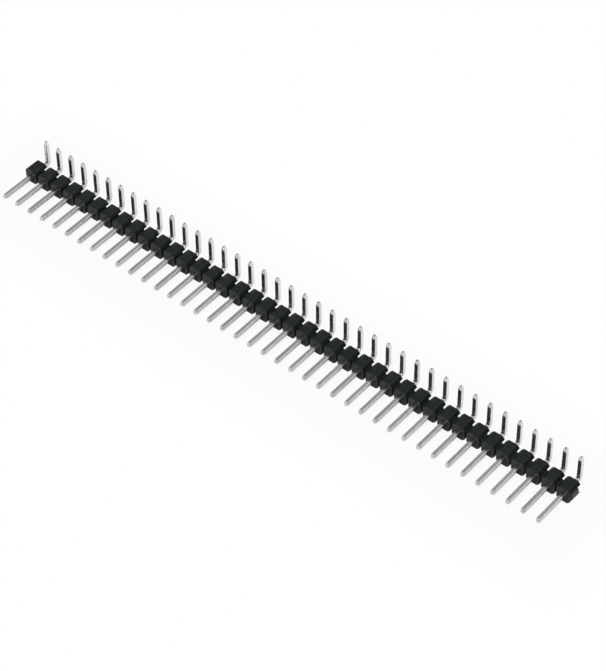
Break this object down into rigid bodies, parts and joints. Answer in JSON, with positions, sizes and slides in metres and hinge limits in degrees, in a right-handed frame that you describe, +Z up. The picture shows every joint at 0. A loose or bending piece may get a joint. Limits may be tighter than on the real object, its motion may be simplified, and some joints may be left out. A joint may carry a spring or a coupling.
{
  "type": "right-angle pin header strip",
  "caption": "Single-row right-angle pin header strip: square bent metal pins in a black break-away plastic insulator of octagonal cells, for soldering to a circuit board.",
  "frame": {"origin": "middle of the strip's overall footprint, on the surface that the insulator lies on", "axes": "+X along the row of pins, -Y the way the contacts point, +Z up, the way the solder tails point"},
  "size_m": [0.1016, 0.01, 0.0057],
  "materials": {
    "insulator": "black moulded plastic, satin",
    "plated_pin": "bright tin plate over brass"
  },
  "bodies": {
    "root": {"insulator_strip": "insulator", "pin_01": "plated_pin", "pin_02": "plated_pin", "pin_03": "plated_pin", "pin_04": "plated_pin", "pin_05": "plated_pin", "pin_06": "plated_pin", "pin_07": "plated_pin", "pin_08": "plated_pin", "pin_09": "plated_pin", "pin_10": "plated_pin", "pin_11": "plated_pin", "pin_12": "plated_pin", "pin_13": "plated_pin", "pin_14": "plated_pin", "pin_15": "plated_pin", "pin_16": "plated_pin", "pin_17": "plated_pin", "pin_18": "plated_pin", "pin_19": "plated_pin", "pin_20": "plated_pin", "pin_21": "plated_pin", "pin_22": "plated_pin", "pin_23": "plated_pin", "pin_24": "plated_pin", "pin_25": "plated_pin", "pin_26": "plated_pin", "pin_27": "plated_pin", "pin_28": "plated_pin", "pin_29": "plated_pin", "pin_30": "plated_pin", "pin_31": "plated_pin", "pin_32": "plated_pin", "pin_33": "plated_pin", "pin_34": "plated_pin", "pin_35": "plated_pin", "pin_36": "plated_pin", "pin_37": "plated_pin", "pin_38": "plated_pin", "pin_39": "plated_pin", "pin_40": "plated_pin"}
  },
  "joints": []
}
